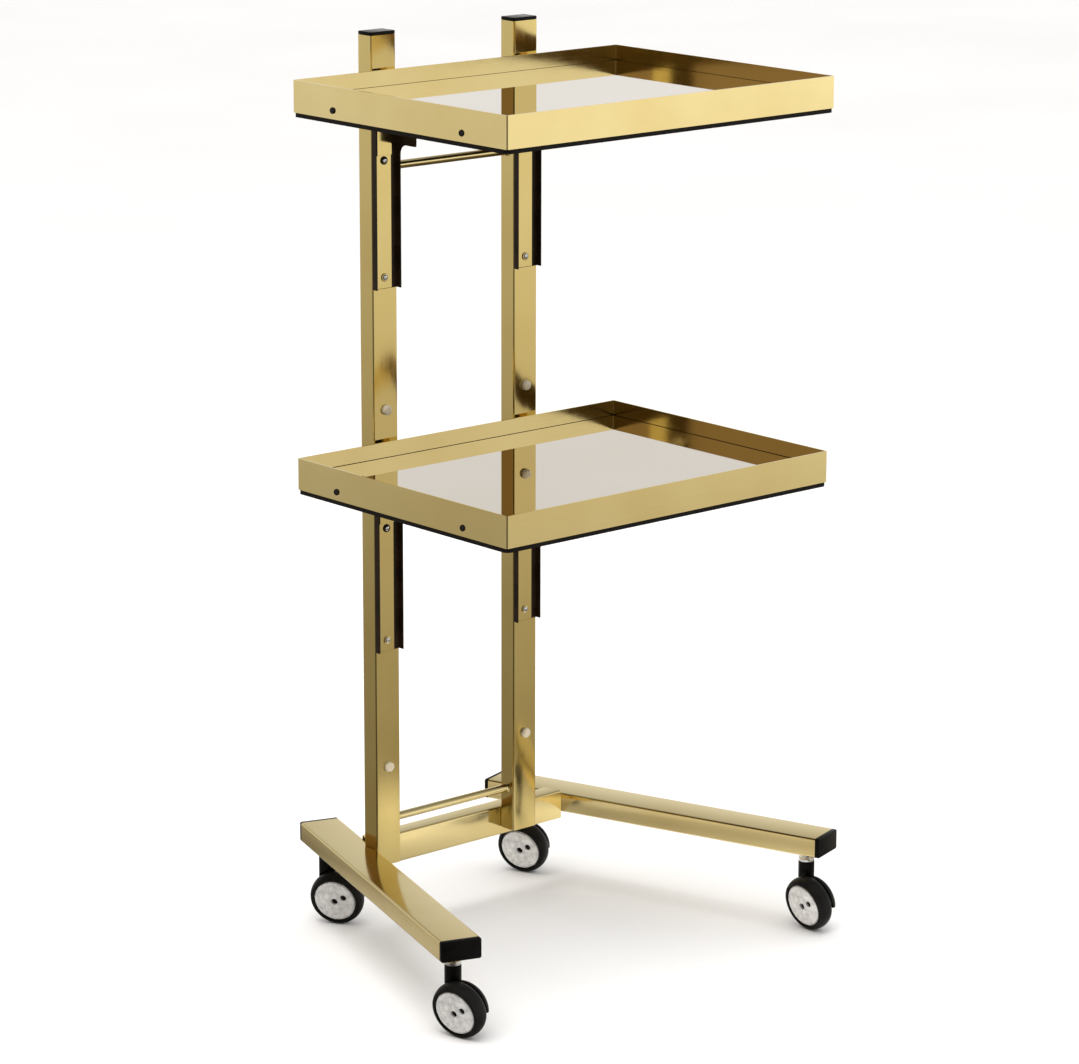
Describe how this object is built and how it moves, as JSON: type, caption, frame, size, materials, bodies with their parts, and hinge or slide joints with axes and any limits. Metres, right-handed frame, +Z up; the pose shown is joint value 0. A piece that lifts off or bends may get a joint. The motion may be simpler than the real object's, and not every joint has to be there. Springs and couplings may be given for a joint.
{
  "type": "rolling salon trolley",
  "caption": "Slim rolling salon trolley: a splayed base on ball casters, a slim tube stand, and shallow mirror trays that fold down against it.",
  "frame": {"origin": "on the floor, under the middle of the bounding box", "axes": "+Z up, -Y towards the trays' front edge where the user stands, +X to the right as seen from the front"},
  "size_m": [0.5102, 0.4278, 0.897],
  "materials": {
    "gold_steel": "polished gold-coloured plated steel",
    "black_steel": "satin black powder coat",
    "black_board": "black faced fibreboard",
    "tray_mirror": "silvered glass, faintly warm",
    "black_plastic": "satin black moulded plastic",
    "black_tyre": "black polyurethane tread",
    "chrome_steel": "bright chrome",
    "silver_hub": "satin silver",
    "pale_plastic": "pale translucent plastic"
  },
  "bodies": {
    "frame": {"crossbar": "gold_steel", "leg_left": "gold_steel", "post_left": "gold_steel", "post_cap_left": "black_plastic", "leg_cap_front_left": "black_plastic", "caster_front_left_stem": "chrome_steel", "leg_cap_rear_left": "black_plastic", "caster_rear_left_stem": "chrome_steel", "leg_right": "gold_steel", "post_right": "gold_steel", "post_cap_right": "black_plastic", "leg_cap_front_right": "black_plastic", "caster_front_right_stem": "chrome_steel", "leg_cap_rear_right": "black_plastic", "caster_rear_right_stem": "chrome_steel", "cross_rod_upper": "gold_steel", "bracket_upper_left": "black_steel", "bracket_strip_upper_left": "gold_steel", "pivot_bolt_upper_left": "chrome_steel", "bumper_upper_left": "pale_plastic", "bracket_upper_right": "black_steel", "bracket_strip_upper_right": "gold_steel", "pivot_bolt_upper_right": "chrome_steel", "bumper_upper_right": "pale_plastic", "cross_rod_lower": "gold_steel", "bracket_lower_left": "black_steel", "bracket_strip_lower_left": "gold_steel", "pivot_bolt_lower_left": "chrome_steel", "bumper_lower_left": "pale_plastic", "bracket_lower_right": "black_steel", "bracket_strip_lower_right": "gold_steel", "pivot_bolt_lower_right": "chrome_steel", "bumper_lower_right": "pale_plastic"},
    "upper_tray": {"upper_tray_band": "gold_steel", "upper_tray_mirror": "tray_mirror", "upper_tray_board": "black_board", "upper_hinge_arm_left": "black_steel", "upper_hinge_arm_right": "black_steel"},
    "lower_tray": {"lower_tray_band": "gold_steel", "lower_tray_mirror": "tray_mirror", "lower_tray_board": "black_board", "lower_hinge_arm_left": "black_steel", "lower_hinge_arm_right": "black_steel"},
    "caster_front_left_fork": {"caster_front_left_hood": "black_plastic", "caster_front_left_axle": "chrome_steel"},
    "caster_front_left_wheel": {"caster_front_left_tyre": "black_tyre", "caster_front_left_hub_cap": "silver_hub"},
    "caster_front_right_fork": {"caster_front_right_hood": "black_plastic", "caster_front_right_axle": "chrome_steel"},
    "caster_front_right_wheel": {"caster_front_right_tyre": "black_tyre", "caster_front_right_hub_cap": "silver_hub"},
    "caster_rear_left_fork": {"caster_rear_left_hood": "black_plastic", "caster_rear_left_axle": "chrome_steel"},
    "caster_rear_left_wheel": {"caster_rear_left_tyre": "black_tyre", "caster_rear_left_hub_cap": "silver_hub"},
    "caster_rear_right_fork": {"caster_rear_right_hood": "black_plastic", "caster_rear_right_axle": "chrome_steel"},
    "caster_rear_right_wheel": {"caster_rear_right_tyre": "black_tyre", "caster_rear_right_hub_cap": "silver_hub"}
  },
  "joints": [
    {"name": "upper_tray_fold", "type": "hinge", "parent": "frame", "child": "upper_tray", "pos_m": [-0.0295, 0.075, 0.809], "axis": [1, 0, 0], "range_deg": [0, 96.8]},
    {"name": "lower_tray_fold", "type": "hinge", "parent": "frame", "child": "lower_tray", "pos_m": [-0.0295, 0.075, 0.453], "axis": [1, 0, 0], "range_deg": [0, 96.8]},
    {"name": "caster_front_left_swivel", "type": "hinge", "parent": "frame", "child": "caster_front_left_fork", "pos_m": [-0.22928, -0.13725, 0.0657], "axis": [0, 0, 1], "continuous": true},
    {"name": "caster_front_left_roll", "type": "hinge", "parent": "caster_front_left_fork", "child": "caster_front_left_wheel", "pos_m": [-0.23476, -0.15296, 0.02727], "axis": [-0.9511, -0.2283, -0.2079], "continuous": true},
    {"name": "caster_front_right_swivel", "type": "hinge", "parent": "frame", "child": "caster_front_right_fork", "pos_m": [0.22928, -0.13725, 0.0657], "axis": [0, 0, 1], "continuous": true},
    {"name": "caster_front_right_roll", "type": "hinge", "parent": "caster_front_right_fork", "child": "caster_front_right_wheel", "pos_m": [0.21979, -0.15093, 0.02727], "axis": [-0.9776, 0.0341, -0.2079], "continuous": true},
    {"name": "caster_rear_left_swivel", "type": "hinge", "parent": "frame", "child": "caster_rear_left_fork", "pos_m": [-0.12411, 0.1845, 0.0657], "axis": [0, 0, 1], "continuous": true},
    {"name": "caster_rear_left_roll", "type": "hinge", "parent": "caster_rear_left_fork", "child": "caster_rear_left_wheel", "pos_m": [-0.12447, 0.16786, 0.02727], "axis": [-0.834, -0.5111, -0.2079], "continuous": true},
    {"name": "caster_rear_right_swivel", "type": "hinge", "parent": "frame", "child": "caster_rear_right_fork", "pos_m": [0.12411, 0.1845, 0.0657], "axis": [0, 0, 1], "continuous": true},
    {"name": "caster_rear_right_roll", "type": "hinge", "parent": "caster_rear_right_fork", "child": "caster_rear_right_wheel", "pos_m": [0.12101, 0.16815, 0.02727], "axis": [-0.9069, -0.3664, -0.2079], "continuous": true}
  ]
}
